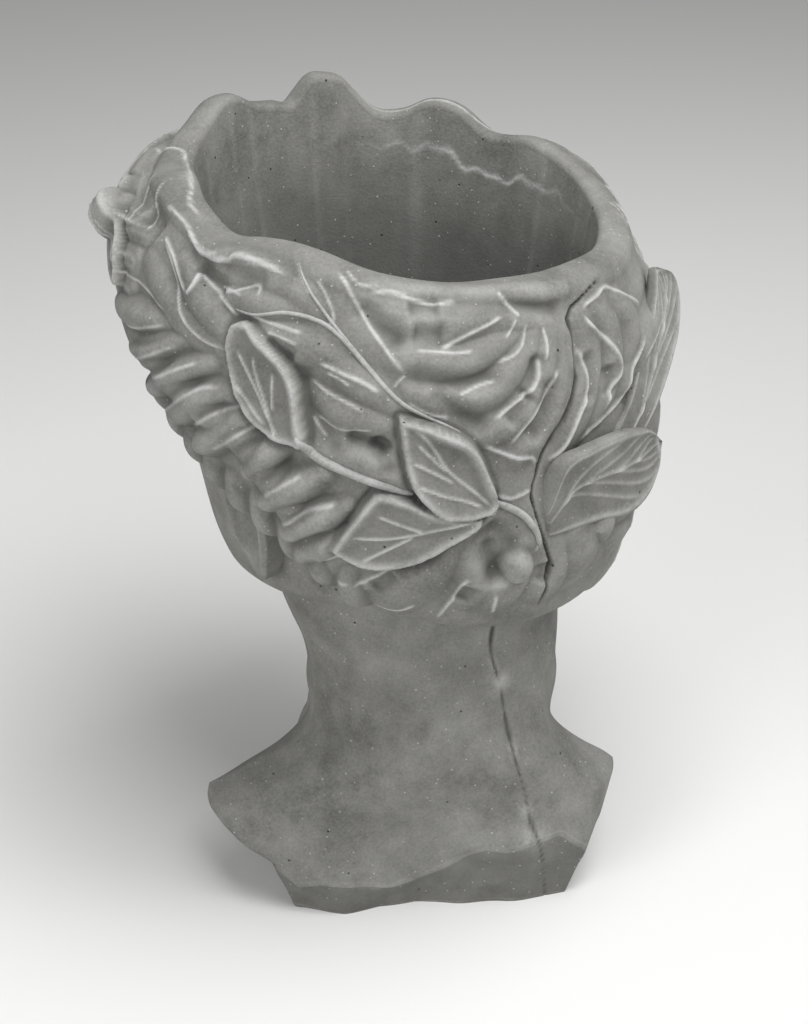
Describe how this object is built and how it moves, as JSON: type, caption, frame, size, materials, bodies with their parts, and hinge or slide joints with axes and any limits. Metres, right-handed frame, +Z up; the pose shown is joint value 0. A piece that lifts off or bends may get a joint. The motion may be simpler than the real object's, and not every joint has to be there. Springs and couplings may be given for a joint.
{
  "type": "head planter",
  "caption": "Cast cement bust planter: a classical head with a leaf wreath and swept hair, its crown open as a bowl for a plant, on a neck and a hewn foot.",
  "frame": {"origin": "middle of the flat underside of the foot, below the neck", "axes": "+Z up, shoulders along X, bust facing -Y, head turned towards +X"},
  "size_m": [0.2124, 0.2132, 0.3161],
  "materials": {
    "cement": "cast grey cement, dry and matt, with paler ridges"
  },
  "bodies": {
    "root": {"branch_stem_left": "cement", "branch_stem_right": "cement", "brow_wave_left": "cement", "brow_wave_right": "cement", "crown_lock_left_1": "cement", "crown_lock_left_2": "cement", "crown_lock_left_3": "cement", "crown_lock_left_4": "cement", "crown_lock_left_5": "cement", "crown_lock_right_1": "cement", "crown_lock_right_2": "cement", "crown_lock_right_3": "cement", "crown_lock_right_4": "cement", "crown_lock_right_5": "cement", "ear_left": "cement", "ear_right": "cement", "face": "cement", "foot_block": "cement", "hair_bowl": "cement", "leaf_back_lower_left": "cement", "leaf_back_lower_right": "cement", "leaf_back_upper_left": "cement", "leaf_back_upper_right": "cement", "leaf_brow_left": "cement", "leaf_brow_right": "cement", "leaf_side_left": "cement", "leaf_side_right": "cement", "leaf_temple_left": "cement", "leaf_temple_right": "cement", "lower_stem_left": "cement", "lower_stem_right": "cement", "main_stem_left": "cement", "main_stem_right": "cement", "nape_lock_left_1": "cement", "nape_lock_left_2": "cement", "nape_lock_right_1": "cement", "nape_lock_right_2": "cement", "neck": "cement", "open_leaf_lower": "cement", "open_leaf_upper": "cement", "rim_leaf_left": "cement", "rim_leaf_middle": "cement", "rim_leaf_right": "cement", "shoulders": "cement", "side_roll_left": "cement", "side_roll_right": "cement", "wreath_knot": "cement"}
  },
  "joints": []
}
